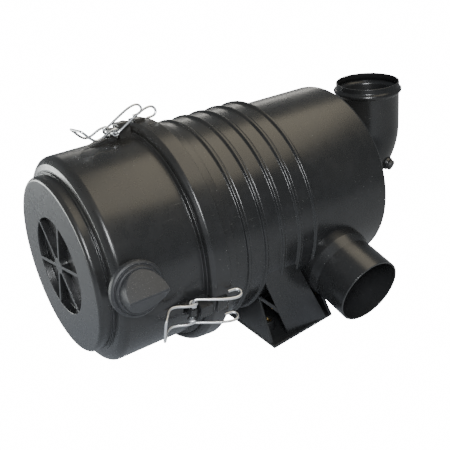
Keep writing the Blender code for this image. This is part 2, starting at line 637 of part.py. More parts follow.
def make_safety():
    """Safety element that plugs into the spigot's bore."""
    rear = REAR_X - WALL
    front = SAFETY_FRONT_X
    plug_x = rear - SPIGOT_LEN - 0.002
    media = [(front + CAP_T + FIT_GAP, SAFETY_BORE_R), (front + CAP_T + FIT_GAP, SAFETY_R),
             (plug_x - FIT_GAP, SAFETY_R), (plug_x - FIT_GAP, SAFETY_BORE_R)]
    turned(media, "safety_media", FELT, 32)
    cap = [(front, 0), (front, SAFETY_R + 0.002), (front + CAP_T, SAFETY_R + 0.002), (front + CAP_T, 0)]
    turned(cap, "safety_closed_cap", URETHANE, 32, False)
    seal_r = SPIGOT_BORE_R - FIT_GAP
    plug = [(plug_x, SAFETY_BORE_R), (plug_x, seal_r), (rear - 0.004, seal_r), (rear - 0.004, SAFETY_BORE_R)]
    turned(plug, "safety_open_cap", URETHANE, 32)


def make_guide_sleeve():
    """Sleeve in the drum that keeps the incoming air off the element."""
    rear = REAR_X - WALL - FIT_GAP
    ring = [(GUIDE_FRONT_X, SLEEVE_R - SLEEVE_T), (GUIDE_FRONT_X, SLEEVE_R), (rear, SLEEVE_R),
            (rear, SLEEVE_R - SLEEVE_T)]
    turned(ring, "guide_sleeve", DARK_PLASTIC)


def main():
    for obj in list(bpy.data.objects):
        bpy.data.objects.remove(obj, do_unlink=True)
    make_drum()
    make_inserts()
    make_elbow()
    make_outlet_trim()
    make_cover()
    make_cover_trim()
    make_valve()
    make_latches()
    make_primary()
    make_safety()
    make_guide_sleeve()


main()
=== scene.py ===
import json
import math

import bpy
from bpy.props import FloatProperty, FloatVectorProperty, IntProperty, PointerProperty
from mathutils import Matrix, Vector


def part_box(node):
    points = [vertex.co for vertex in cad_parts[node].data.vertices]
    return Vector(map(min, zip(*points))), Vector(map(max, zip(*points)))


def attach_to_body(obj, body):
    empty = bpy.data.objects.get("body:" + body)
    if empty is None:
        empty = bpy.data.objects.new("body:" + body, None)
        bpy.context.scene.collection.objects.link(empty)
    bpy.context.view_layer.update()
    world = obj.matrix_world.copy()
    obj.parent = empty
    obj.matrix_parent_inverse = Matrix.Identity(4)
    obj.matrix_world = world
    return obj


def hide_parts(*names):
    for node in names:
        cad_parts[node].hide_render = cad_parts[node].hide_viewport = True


bl_info = {
    "name": "Air filter housing",
    "version": (1, 0, 0),
    "blender": (4, 5, 0),
    "location": "View3D > Sidebar > Air filter",
    "description": "Builds the visible pieces of a latched air filter housing around its frame",
    "category": "Object",
}

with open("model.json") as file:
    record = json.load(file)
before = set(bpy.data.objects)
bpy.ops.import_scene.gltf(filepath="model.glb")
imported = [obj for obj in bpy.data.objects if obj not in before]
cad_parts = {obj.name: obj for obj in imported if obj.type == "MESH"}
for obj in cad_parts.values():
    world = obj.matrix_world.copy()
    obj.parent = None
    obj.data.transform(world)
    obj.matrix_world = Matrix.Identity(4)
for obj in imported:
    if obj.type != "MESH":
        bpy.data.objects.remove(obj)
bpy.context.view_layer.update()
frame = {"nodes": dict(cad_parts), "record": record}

# ---- places read from the frame ----
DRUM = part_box("housing_body")
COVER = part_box("service_cover")
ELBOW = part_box("outlet_elbow")
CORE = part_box("primary_core")
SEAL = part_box("cover_seal")
AXIS_Z = (CORE[0][2] + CORE[1][2]) / 2
NOSE_X = COVER[0][0]
RIM_X = SEAL[0][0] - 0.0003
SEAT_X = SEAL[1][0] + 0.0003
REAR_X = 0.158  # where the elbow is fixed: the rear face of the drum

# ---- sizes and colours that a user may change ----
class HousingSizes(bpy.types.PropertyGroup):
    """Sizes of the drum and its foot."""
    rear_r: FloatProperty(name="Rear radius", description="Smooth rear part of the drum",
                          default=0.1370, unit="LENGTH")
    root_r: FloatProperty(name="Rib root radius", description="Drum surface between the ribs",
                          default=0.1432, unit="LENGTH")
    rib_r: FloatProperty(name="Rib radius", description="Tops of the ribs", default=0.1462, unit="LENGTH")
    lip_r: FloatProperty(name="Lip radius", description="Rear edge of the lip", default=0.1596, unit="LENGTH")
    lip_bore_r: FloatProperty(name="Lip bore", description="Inside of the lip", default=0.1480, unit="LENGTH")
    wall: FloatProperty(name="Wall", description="Moulded wall thickness", default=0.0030, unit="LENGTH")
    ribs: IntProperty(name="Ribs", description="Number of raised ribs around the drum", default=5)
    rib_pitch: FloatProperty(name="Rib pitch", description="Distance between ribs", default=0.0283, unit="LENGTH")
    first_rib: FloatProperty(name="First rib", description="Place of the first rib along the drum",
                             default=-0.0955, unit="LENGTH")


class CoverSizes(bpy.types.PropertyGroup):
    """Sizes of the service cover."""
    side_r: FloatProperty(name="Side radius", description="Side wall of the cover", default=0.1418, unit="LENGTH")
    nose_r: FloatProperty(name="Nose radius", description="Raised nose of the cover", default=0.1205, unit="LENGTH")
    flange_r: FloatProperty(name="Nose flange", description="Thin flange behind the nose",
                            default=0.1235, unit="LENGTH")
    recess_r: FloatProperty(name="Recess radius", description="Round recess in the nose",
                            default=0.0666, unit="LENGTH")
    recess_depth: FloatProperty(name="Recess depth", description="Depth of the recess in the nose",
                                default=0.0095, unit="LENGTH")
    spokes: IntProperty(name="Spokes", description="Flat spokes across the recess", default=6)


class FinishColours(bpy.types.PropertyGroup):
    """Base colours of the finishes."""
    plastic: FloatVectorProperty(name="Plastic", description="Moulded black plastic", subtype="COLOR",
                                 default=(0.0140, 0.0144, 0.0150))
    rubber: FloatVectorProperty(name="Rubber", description="Black rubber", subtype="COLOR",
                                default=(0.018, 0.019, 0.021))
    dust: FloatVectorProperty(name="Dust", description="Dry dust on the rubber", subtype="COLOR",
                              default=(0.46, 0.45, 0.42))
    zinc: FloatVectorProperty(name="Zinc", description="Bright zinc plating", subtype="COLOR",
                              default=(0.80, 0.81, 0.82))
    paper: FloatVectorProperty(name="Paper", description="Resin treated filter paper", subtype="COLOR",
                               default=(0.62, 0.48, 0.24))
    floor: FloatVectorProperty(name="Floor", description="Plain pale floor", subtype="COLOR",
                               default=(0.95, 0.95, 0.95))


# ---- shader maths ----
class Wire:
    """A node socket that can be added, multiplied and compared like a number."""

    def __init__(self, graph, socket):
        self.graph = graph
        self.socket = socket

    def _math(self, how, *others):
        return self.graph.node("ShaderNodeMath", {"operation": how}, [self, *others])

    def __add__(self, other):
        return self._math("ADD", other)

    def __sub__(self, other):
        return self._math("SUBTRACT", other)

    def __rsub__(self, other):
        return self.graph.node("ShaderNodeMath", {"operation": "SUBTRACT"}, [other, self])

    def __mul__(self, other):
        return self._math("MULTIPLY", other)

    def __truediv__(self, other):
        return self._math("DIVIDE", other)

    def clamped(self):
        """This value kept between 0 and 1."""
        return self.graph.node("ShaderNodeClamp", {}, [self])

    def between(self, low, high):
        """0 below low, 1 above high, smooth between."""
        return self.graph.node("ShaderNodeMapRange", {"interpolation_type": "SMOOTHSTEP"},
                               [self, low, high, 0.0, 1.0])

    __radd__ = __add__
    __rmul__ = __mul__


class Finish:
    """A node material that is built by short calls."""

    def __init__(self, name):
        self.material = bpy.data.materials.new(f"{name}_finish")
        self.material.use_nodes = True
        self.tree = self.material.node_tree
        self.shader = self.tree.nodes["Principled BSDF"]
        self.place = self.node("ShaderNodeTexCoord", {}, {}, "Object")

    def node(self, kind, settings, values, output=0):
        """Add a node: settings first, then the values or links of its sockets."""
        made = self.tree.nodes.new(kind)
        for key, value in settings.items():
            setattr(made, key, value)
        pairs = values.items() if isinstance(values, dict) else enumerate(values)
        for key, value in pairs:
            self.put(made.inputs[key], value)
        return Wire(self, made.outputs[output])

    def put(self, socket, value):
        """Give a socket a constant or a link."""
        if isinstance(value, Wire):
            self.tree.links.new(value.socket, socket)
        elif hasattr(value, "__len__") and len(value) == 3 and socket.type == "RGBA":
            socket.default_value = (*value, 1.0)
        else:
            socket.default_value = value

    def stretched(self, scale, turn=(0.0, 0.0, 0.0), shift=(0.0, 0.0, 0.0)):
        """Object coordinates, scaled and turned."""
        return self.node("ShaderNodeMapping", {}, {"Vector": self.place, "Location": shift, "Rotation": turn,
                                                   "Scale": scale})

    def noise(self, scale, detail=4.0, rough=0.55, at=None, distortion=0.0):
        """Fractal noise from 0 to 1."""
        return self.node("ShaderNodeTexNoise", {}, {"Vector": at or self.place, "Scale": scale, "Detail": detail,
                                                    "Roughness": rough, "Distortion": distortion})

    def cells(self, scale, at=None, feature="F1"):
        """Distance to scattered points."""
        return self.node("ShaderNodeTexVoronoi", {"feature": feature}, {"Vector": at or self.place, "Scale": scale})

    def mix(self, factor, first, second, how="MIX"):
        """Blend two colours."""
        made = self.tree.nodes.new("ShaderNodeMix")
        made.data_type = "RGBA"
        made.blend_type = how
        for key, value in ((0, factor), (6, first), (7, second)):
            self.put(made.inputs[key], value)
        return Wire(self, made.outputs[2])

    def bump(self, height, distance, strength=1.0, normal=None):
        """Surface relief from a height."""
        values = {"Height": height, "Distance": distance, "Strength": strength}
        if normal:
            values["Normal"] = normal
        return self.node("ShaderNodeBump", {}, values)

    def set(self, **values):
        """Set the shader's sockets by name, with _ for a space."""
        for key, value in values.items():
            self.put(self.shader.inputs[key.replace("_", " ")], value)
        return self.material

    def separate(self, vector=None):
        """X, Y and Z of a vector."""
        made = self.tree.nodes.new("ShaderNodeSeparateXYZ")
        self.tree.links.new((vector or self.place).socket, made.inputs[0])
        return [Wire(self, made.outputs[n]) for n in range(3)]


def scratches(finish, scale, turn, amount):
    """Fine straight scratches as a mask."""
    lines = finish.noise(1.0, 2.0, 0.5, finish.stretched(scale, turn))
    patches = finish.noise(14.0, 2.0, 0.5)
    return lines.between(0.70, 0.74) * patches.between(0.48, 0.62) * amount


def moulded_plastic(name, colour, shine=0.28, top_dust_and_sheen=0.40):
    """Black moulded plastic: fine grain, faint bloom, an olive tint on the top that is partly dust and partly a
    painted warm sheen, dust specks, handling marks and scratches.
    """
    f = Finish(name)
    bloom = f.noise(5.5, 3.0, 0.6)
    mottle = f.noise(60.0, 4.0, 0.6)
    specks = 1.0 - f.cells(150.0).between(0.045, 0.075)
    speck_patch = f.noise(11.0, 2.0).between(0.44, 0.62)
    specks = specks * speck_patch
    marks = scratches(f, (26.0, 620.0, 620.0), (0.0, 0.05, 0.12), 1.0)
    marks = (marks + scratches(f, (700.0, 40.0, 700.0), (0.5, 0.1, 0.3), 0.6)).clamped()
    # Upper half, above the drum's axis: where the olive tint goes, partly dust and partly painted sheen of the warm
    # overhead light
    up = f.separate()[2].between(AXIS_Z - 0.02, AXIS_Z + 0.15)
    tone = f.mix(bloom.between(0.35, 0.70), [0.82 * c for c in colour],
                 [1.25 * c for c in colour])
    tone = f.mix(mottle.between(0.40, 0.75) * 0.35, tone, [1.5 * c for c in colour])
    # Olive tint on the top, patchy with the bloom: partly dust, partly painted warm sheen
    tone = f.mix(up * top_dust_and_sheen * bloom.between(0.25, 0.75) * 0.5, tone, (0.060, 0.052, 0.034))
    tone = f.mix(marks * 0.30, tone, (0.10, 0.097, 0.090))
    tone = f.mix(specks * 0.6, tone, (0.30, 0.30, 0.28))
    rough = shine + mottle * 0.10 + bloom * 0.08 - 0.09 + marks * 0.12 + specks * 0.2
    grain = f.noise(2600.0, 2.0, 0.5)
    waves = f.noise(34.0, 2.0, 0.5)
    relief = f.bump(grain, 0.000008, 0.30)
    relief = f.bump(waves, 0.0005, 0.10, relief)
    relief = f.bump(specks * 0.5 - marks * 0.5, 0.00004, 0.4, relief)
    return f.set(Base_Color=tone, Roughness=rough.clamped(), Normal=relief, IOR=1.5, Specular_IOR_Level=0.5)


def dusty_rubber(name, colour, dust, low=0.0, high=1.0, axis=1):
    """Rubber with a dry film of dust that thickens along one axis, and a dimpled surface."""
    f = Finish(name)
    along = f.separate()[axis].between(low, high)
    cloud = f.noise(90.0, 5.0, 0.65)
    fine = f.noise(900.0, 3.0, 0.6)
    cover = (along * 1.1 * cloud.between(0.22, 0.58) + fine.between(0.62, 0.72) * 0.25).clamped()
    tone = f.mix(cloud * 0.5, colour, [1.6 * c for c in colour])
    tone = f.mix(cover, tone, f.mix(fine, dust, [1.35 * c for c in dust]))
    rough = cover * 0.35 + 0.48 + cloud * 0.1
    relief = f.bump(fine, 0.0001, 0.35)
    relief = f.bump(cloud, 0.0005, 0.25, relief)
    return f.set(Base_Color=tone, Roughness=rough.clamped(), Normal=relief)


def zinc_wire(name, colour):
    """Bright plated wire with drawing lines and dull patches."""
    f = Finish(name)
    drawn = f.noise(1.0, 3.0, 0.6, f.stretched((60.0, 2200.0, 2200.0)))
    patch = f.noise(140.0, 4.0, 0.6)
    tone = f.mix(patch.between(0.50, 0.80) * 0.5, colour, (0.55, 0.54, 0.52))
    rough = 0.18 + patch * 0.18 + drawn * 0.08
    relief = f.bump(drawn, 0.00003, 0.3)
    return f.set(Base_Color=tone, Roughness=rough, Metallic=1.0, Normal=relief)


def turned_brass(name):
    """Brass with turning rings and darker tarnish."""
    f = Finish(name)
    rings = f.noise(1.0, 2.0, 0.5, f.stretched((30.0, 30.0, 3000.0)))
    tarnish = f.noise(160.0, 4.0, 0.6).between(0.45, 0.75)
    tone = f.mix(tarnish * 0.6, (0.66, 0.47, 0.18), (0.30, 0.20, 0.09))
    return f.set(Base_Color=tone, Roughness=0.28 + tarnish * 0.25, Metallic=1.0, Normal=f.bump(rings, 0.00005, 0.4))


def pleated_paper(name, colour):
    """Resin treated paper with fibres, embossed dimples and darker patches of dust."""
    f = Finish(name)
    fibres = f.noise(1.0, 4.0, 0.65, f.stretched((700.0, 260.0, 260.0)))
    dimple = f.cells(260.0, f.stretched((1.0, 0.6, 0.6)))
    soil = f.noise(24.0, 4.0, 0.6).between(0.42, 0.72)
    tone = f.mix(fibres.between(0.3, 0.7) * 0.5, colour, [0.72 * c for c in colour])
    tone = f.mix(soil * 0.35, tone, (0.20, 0.17, 0.12))
    relief = f.bump(fibres, 0.0002, 0.4)
    relief = f.bump(dimple, 0.0006, 0.4, relief)
    return f.set(Base_Color=tone, Roughness=0.86, Normal=relief)


def felt(name):
    """White needled felt."""
    f = Finish(name)
    fibres = f.noise(1.0, 5.0, 0.7, f.stretched((1600.0, 500.0, 900.0)))
    tone = f.mix(fibres.between(0.3, 0.7), (0.72, 0.71, 0.66), (0.86, 0.86, 0.82))
    return f.set(Base_Color=tone, Roughness=0.95, Normal=f.bump(fibres, 0.0004, 0.6), Sheen_Weight=0.3)


def foamed_cap(name):
    """Soft moulded urethane with a skin of fine pores."""
    f = Finish(name)
    pores = f.cells(900.0).between(0.05, 0.30)
    tone = f.mix(f.noise(50.0, 4.0), (0.028, 0.028, 0.030), (0.060, 0.058, 0.055))
    return f.set(Base_Color=tone, Roughness=0.62 + f.noise(30.0) * 0.15, Normal=f.bump(pores, 0.0002, 0.5))


def perforated_steel(name):
    """Galvanised sheet with punched round holes, painted near black as painted shade inside them."""
    f = Finish(name)
    x, y, z = f.separate()
    turn = f.node("ShaderNodeMath", {"operation": "ARCTAN2"}, [z - AXIS_Z, y])
    pitch = 0.0075
    grid = f.node("ShaderNodeCombineXYZ", {}, {"X": x / pitch, "Y": turn * (0.062 / pitch), "Z": 0.0})
    cell = f.node("ShaderNodeTexVoronoi", {"feature": "F1"}, {"Vector": grid, "Scale": 1.0, "Randomness": 0.0})
    hole = 1.0 - cell.between(0.28, 0.33)
    # Holes painted near black: painted shade seen through the sheet
    tone = f.mix(hole, f.mix(f.noise(70.0, 4.0), (0.42, 0.43, 0.44), (0.62, 0.63, 0.64)), (0.01, 0.01, 0.01))
    return f.set(Base_Color=tone, Metallic=1.0 - hole, Roughness=0.38 + hole * 0.4,
                 Normal=f.bump(1.0 - hole, 0.0005, 0.6))


# ---- modelling by hand ----
def clear_selection():
    """Nothing selected, in object mode."""
    if bpy.context.object and bpy.context.object.mode != "OBJECT":
        bpy.ops.object.mode_set(mode="OBJECT")
    bpy.ops.object.select_all(action="DESELECT")


def pick(obj):
    """Make one object the selected and active one."""
    clear_selection()
    obj.select_set(True)
    bpy.context.view_layer.objects.active = obj


def settle(obj, name, material, sharp=32.0):
    """Name a finished piece, bring its place into its mesh, shade it and give it its finish."""
    pick(obj)
    if obj.type == "CURVE":
        bpy.ops.object.convert(target="MESH")
        obj = bpy.context.object
    bpy.ops.object.transform_apply(location=True, rotation=True, scale=True)
    obj.name = name
    obj.data.name = name
    bpy.ops.object.shade_smooth_by_angle(angle=math.radians(sharp))
    obj.data.materials.clear()
    obj.data.materials.append(material)
    return obj


def apply_modifier(obj, kind, **settings):
    """Add a modifier, set it and apply it."""
    pick(obj)
    mod = obj.modifiers.new(kind.title(), kind)
    for key, value in settings.items():
        setattr(mod, key, value)
    bpy.ops.object.modifier_apply(modifier=mod.name)


def merge_shape(obj, tool, how="UNION"):
    """Add or cut a shape and throw the tool away."""
    apply_modifier(obj, "BOOLEAN", operation=how, solver="EXACT", object=tool)
    bpy.data.objects.remove(tool, do_unlink=True)


def fillet(points, steps=5):
    """Round the corners of an (along, radius, corner radius) outline with arcs."""
    out = []
    hold = 0.00025  # short straight run that keeps the flat beside an arc flat
    for i, (x, r, corner) in enumerate(points):
        here = Vector((x, r))
        back = Vector(points[max(i - 1, 0)][:2]) - here
        ahead = Vector(points[min(i + 1, len(points) - 1)][:2]) - here
        if corner <= 0 or back.length == 0 or ahead.length == 0 or back.angle(ahead) > math.radians(176):
            out.append(here)
            continue
        half = back.angle(ahead) / 2
        reach = min(corner / math.tan(half), 0.46 * back.length, 0.46 * ahead.length)
        radius = reach * math.tan(half)
        middle = here + (back.normalized() + ahead.normalized()).normalized() * (radius / math.sin(half))
        start = here + back.normalized() * reach - middle
        end = here + ahead.normalized() * reach - middle
        turn = start.angle_signed(end)
        if back.length - 2 * reach > 4 * hold:
            out.append(here + back.normalized() * (reach + hold))
        for step in range(steps + 1):
            a = -turn * step / steps
            out.append(middle + Vector((start.x * math.cos(a) - start.y * math.sin(a),
                                        start.x * math.sin(a) + start.y * math.cos(a))))
        if ahead.length - 2 * reach > 4 * hold:
            out.append(here + ahead.normalized() * (reach + hold))
    return out


def place_at(origin, out, side=None):
    """Matrix whose local Z points out and local X along side."""
    out = Vector(out).normalized()
    side = Vector(side) if side else out.orthogonal()
    side = (side - out * side.dot(out)).normalized()
    up = out.cross(side)
    made = Matrix((side, up, out)).transposed().to_4x4()
    made.translation = origin
    return made


def turn_up(outline, place, segments=128, steps=5, scale=(1.0, 1.0)):
    """Extrude a circle ring by ring along an outline of (height, radius, corner), then move it to its place."""
    line = fillet(outline, steps)
    clear_selection()
    bpy.ops.mesh.primitive_circle_add(vertices=segments, radius=line[0].y, location=(0, 0, line[0].x))
    obj = bpy.context.object
    bpy.ops.object.transform_apply(location=True, rotation=True, scale=True)
    bpy.ops.object.mode_set(mode="EDIT")
    bpy.ops.mesh.select_all(action="SELECT")
    for before, here in zip(line, line[1:]):
        bpy.ops.mesh.extrude_region_move(TRANSFORM_OT_translate={"value": (0, 0, here.x - before.x)})
        ratio = here.y / before.y
        bpy.ops.transform.resize(value=(ratio, ratio, 1), center_override=(0, 0, here.x))
    bpy.ops.mesh.select_all(action="SELECT")
    bpy.ops.mesh.remove_doubles(threshold=0.000004)
    bpy.ops.mesh.select_all(action="DESELECT")
    bpy.ops.mesh.select_non_manifold()
    bpy.ops.mesh.fill_holes(sides=0)
    bpy.ops.mesh.select_all(action="SELECT")
    bpy.ops.mesh.normals_make_consistent(inside=False)
    bpy.ops.object.mode_set(mode="OBJECT")
    obj.scale = (scale[0], scale[1], 1.0)
    bpy.ops.object.transform_apply(location=True, rotation=True, scale=True)
    obj.matrix_world = place
    bpy.ops.object.transform_apply(location=True, rotation=True, scale=True)
    return obj


def slab(outline, shift, bevel=0.0, segments=3):
    """Fill a flat outline, extrude it by a shift and round its edges."""
    clear_selection()
    bpy.ops.mesh.primitive_circle_add(vertices=len(outline), fill_type="NGON", location=(0, 0, 0))
    obj = bpy.context.object
    for vertex, corner in zip(obj.data.vertices, outline):
        vertex.co = corner
    bpy.ops.object.mode_set(mode="EDIT")
    bpy.ops.mesh.select_all(action="SELECT")
    bpy.ops.mesh.extrude_region_move(TRANSFORM_OT_translate={"value": tuple(shift)})
    bpy.ops.mesh.select_all(action="SELECT")
    bpy.ops.mesh.normals_make_consistent(inside=False)
    bpy.ops.object.mode_set(mode="OBJECT")
    if bevel:
        apply_modifier(obj, "BEVEL", width=bevel, segments=segments, limit_method="ANGLE",
                       angle_limit=math.radians(25))
    return obj


def block(low, high, place, bevel=0.0, segments=3):
    """A box between two corners in a local frame, with rounded edges."""
    low, high = Vector(low), Vector(high)
    clear_selection()
    bpy.ops.mesh.primitive_cube_add(size=1.0, location=(low + high) / 2, scale=high - low)
    obj = bpy.context.object
    bpy.ops.object.transform_apply(location=True, rotation=True, scale=True)
    if bevel:
        apply_modifier(obj, "BEVEL", width=bevel, segments=segments)
    obj.matrix_world = place
    bpy.ops.object.transform_apply(location=True, rotation=True, scale=True)
    return obj


def bend_wire(route, radius, sides=5):
    """Run a round wire along a smooth route."""
    data = bpy.data.curves.new("wire", "CURVE")
    data.dimensions = "3D"
    data.bevel_depth = radius
    data.bevel_resolution = sides
    data.use_fill_caps = True
    data.resolution_u = 5
    spline = data.splines.new("NURBS")
    spline.points.add(len(route) - 1)
    for point, spot in zip(spline.points, route):
        point.co = (*spot, 1.0)
    spline.use_endpoint_u = True
    spline.order_u = 3
    obj = bpy.data.objects.new("wire", data)
    bpy.context.collection.objects.link(obj)
    pick(obj)
    bpy.ops.object.convert(target="MESH")
    return bpy.context.object


def join_pieces(pieces):
    """One mesh from several."""
    clear_selection()
    for piece in pieces:
        piece.select_set(True)
    bpy.context.view_layer.objects.active = pieces[0]
    bpy.ops.object.join()
    return bpy.context.object


def around(angle_deg, x=0.0):
    """Local axes at a place around the drum: X along it, Y sideways, Z outwards."""
    a = math.radians(angle_deg)
    return place_at((x, 0, AXIS_Z), (0, math.cos(a), math.sin(a)), (1, 0, 0))


ALONG = place_at((0, 0, AXIS_Z), (1, 0, 0), (0, 0, 1))


# ---- housing ----
def drum_outline(sizes):
    """Section of the drum: outside from the lip to the rear face, then the spigot and the inside."""
    lip, bore, root, rib, rear = sizes.lip_r, sizes.lip_bore_r, sizes.root_r, sizes.rib_r, sizes.rear_r
    front = SEAT_X - 0.0226
    back = DRUM[1][0]
    line = [(front, bore, 0.0), (front, bore + 0.0030, 0.0010), (front + 0.0010, lip - 0.0052, 0.0040)]
    line += [(front + 0.0062, lip - 0.0014, 0.0050), (front + 0.0272, lip, 0.0007)]
    line += [(front + 0.0279, root + 0.0078, 0.0010), (front + 0.0436, root + 0.0062, 0.0008)]
    line += [(front + 0.0449, root + 0.0009, 0.0012)]
    x = 0.0
    for n in range(sizes.ribs):
        x = sizes.first_rib + n * sizes.rib_pitch
        line += [(x - 0.0040, root, 0.0018), (x - 0.0021, rib, 0.0017), (x + 0.0012, rib, 0.0017)]
        line += [(x + 0.0030, root - 0.0004, 0.0006)]
        if n < sizes.ribs - 1:
            line += [(x + 0.0042, root - 0.0004, 0.0003), (x + 0.0050, root, 0.0004)]
    line += [(x + 0.0070, rear, 0.0030), (back, rear, 0.0050), (back, 0.0470, 0.0010)]
    floor = back - sizes.wall
    line += [(floor - 0.030, 0.0470, 0.0008), (floor - 0.030, 0.0500, 0.0008), (floor, 0.0500, 0.0010)]
    line += [(floor, rear - sizes.wall, 0.0030), (SEAT_X, rear - sizes.wall, 0.0006), (SEAT_X, bore, 0.0006)]
    return line + [(front, bore, 0.0)]


def plate_y(z):
    """Outer face of a side plate of the foot at a height."""
    return 0.1240 + 0.0150 * min(z, 0.160) / 0.160


def make_drum(sizes, finish):
    """Turned shell of the drum with its latch pads and the hole for the inlet."""
    drum = turn_up(drum_outline(sizes), ALONG, 192)
    for angle in LATCH_ANGLES:
        top = sizes.lip_r + 0.0025
        merge_shape(drum, block((SEAT_X - 0.0168, -0.011, top - 0.008), (SEAT_X - 0.0014, 0.011, top),
                                around(angle), 0.0012))
    merge_shape(drum, turn_up([(-0.118, PORT_BORE_R, 0), (0.01, PORT_BORE_R, 0)], INLET, 96), "DIFFERENCE")
    return settle(drum, "drum_shell", finish, 30)


def make_inlet(finish):
    """Inlet port: a tube with a rounded rim that leans out of the drum."""
    length = -0.1085
    line = [(length, PORT_BORE_R, 0), (0, PORT_BORE_R, 0.0007), (0, PORT_R, 0.0007), (-0.052, PORT_R, 0.004),
            (-0.066, 0.0535, 0.004), (length, 0.0535, 0), (length, PORT_BORE_R, 0)]
    return settle(turn_up(line, INLET, 128), "inlet_port", finish, 40)


def make_foot(finish):
    """Moulded foot: base, end walls, leaning side plates, fins, struts and screw bosses."""
    front_y, rear_y, half, low = 0.1340, 0.1222, 0.0587, 0.0050
    wall_x = half - 0.0006
    base = [(-half, -front_y, 0), (half, -rear_y, 0), (half, rear_y, 0), (-half, front_y, 0)]
    pieces = [slab(base, (0, 0, low), 0.0008)]
    top_y, top_z = front_y - 0.036, AXIS_Z - 0.090
    wall = [(-wall_x, 0.006 - front_y, low - 0.001), (-wall_x, front_y - 0.006, low - 0.001),
            (-wall_x, top_y, top_z), (-wall_x, -top_y, top_z)]
    pieces.append(slab(wall, (0.0040, 0, 0), 0.0018, 4))
    wall = [(wall_x, 0.010 - rear_y, low - 0.001), (wall_x, rear_y - 0.010, low - 0.001),
            (wall_x, 0.085, 0.065), (wall_x, -0.085, 0.065)]
    pieces.append(slab(wall, (-0.0040, 0, 0), 0.0012))
    for side in (-1, 1):
        plate = [(x, side * plate_y(z), z)
                 for x, z in ((-0.083, 0.155), (-0.026, low - 0.001), (0.046, low - 0.001), (-0.036, 0.170))]
        pieces.append(slab(plate, (0, -side * 0.0040, 0), 0.0012))
        fin = [(-0.026, side * 0.1335, 0.200), (-0.021, side * 0.1335, 0.200),
               (0.0572, side * plate_y(low), low - 0.001), (0.0522, side * plate_y(low), low - 0.001)]
        pieces.append(slab(fin, (0, -side * 0.030, 0), 0.0008))
        strut = [(x, side * 0.128, z)
                 for x, z in ((-0.062, 0.078), (-0.060, 0.070), (-0.036, 0.040), (-0.036, 0.052))]
        pieces.append(slab(strut, (0, -side * 0.060, 0), 0.0008))
        for x in (-0.038, 0.038):
            boss = [(low - 0.001, 0.0068, 0), (low - 0.001, 0.0105, 0), (0.020, 0.0105, 0.0010),
                    (0.020, 0.0068, 0), (low - 0.001, 0.0068, 0)]
            pieces.append(turn_up(boss, Matrix.Translation((x, side * 0.092, 0)), 32))
    return settle(join_pieces(pieces), "mounting_foot", finish, 30)


def make_elbow(finish):
    """Right-angle outlet tube with a flange, a hose bead and the indicator's boss."""
    back = REAR_X + 0.0023
    bend, centre_x, mouth = BEND_R, BEND_X, ELBOW[1][2]
    clear_selection()
    bpy.ops.mesh.primitive_circle_add(vertices=96, radius=TUBE_R, location=(back + 0.001, 0, AXIS_Z),
                                      rotation=(0, math.pi / 2, 0))
    tube = bpy.context.object
    bpy.ops.object.transform_apply(location=True, rotation=True, scale=True)
    bpy.ops.object.mode_set(mode="EDIT")
    bpy.ops.mesh.select_all(action="SELECT")
    bpy.ops.mesh.extrude_region_move(TRANSFORM_OT_translate={"value": (centre_x - back - 0.001, 0, 0)})
    bpy.ops.mesh.spin(steps=28, angle=math.pi / 2, center=(centre_x, 0, AXIS_Z + bend), axis=(0, 1, 0))
    x = centre_x + bend
    z, radius = AXIS_Z + bend, TUBE_R
    bead = mouth - 0.0130
    for new_z, new_r in [(bead - 0.0062, TUBE_R), (bead - 0.0050, 0.0500), (bead - 0.0034, 0.0517),
                         (bead - 0.0016, 0.0531), (bead, 0.0534), (bead + 0.0016, 0.0531), (bead + 0.0034, 0.0517),
                         (bead + 0.0050, 0.0500), (bead + 0.0062, TUBE_R), (mouth, TUBE_R)]:
        bpy.ops.mesh.extrude_region_move(TRANSFORM_OT_translate={"value": (0, 0, new_z - z)})
        bpy.ops.transform.resize(value=(new_r / radius, new_r / radius, 1), center_override=(x, 0, new_z))
        z, radius = new_z, new_r
    bpy.ops.mesh.select_all(action="SELECT")
    bpy.ops.mesh.remove_doubles(threshold=0.000005)
    bpy.ops.mesh.normals_make_consistent(inside=False)
    bpy.ops.object.mode_set(mode="OBJECT")
    apply_modifier(tube, "SOLIDIFY", thickness=0.0021, offset=-1.0)
    apply_modifier(tube, "BEVEL", width=0.0006, segments=3, limit_method="ANGLE", angle_limit=math.radians(50))
    flange = [(back, 0.0475, 0), (back, 0.0580, 0.0006), (back + 0.0050, 0.0580, 0.0015),
              (back + 0.0050, 0.0510, 0.0020), (back + 0.0090, 0.0492, 0), (back + 0.0090, 0.0478, 0),
              (back, 0.0475, 0)]
    merge_shape(tube, turn_up(flange, ALONG, 96))
    boss = [(-0.012, 0.0085, 0), (-0.012, 0.0115, 0), (0.0035, 0.0105, 0.001), (0.005, 0.0098, 0.0008),
            (0.005, 0.0060, 0), (-0.012, 0.0058, 0), (-0.012, 0.0085, 0)]
    merge_shape(tube, turn_up(boss, PORT, 48))
    return settle(tube, "elbow_tube", finish, 30)


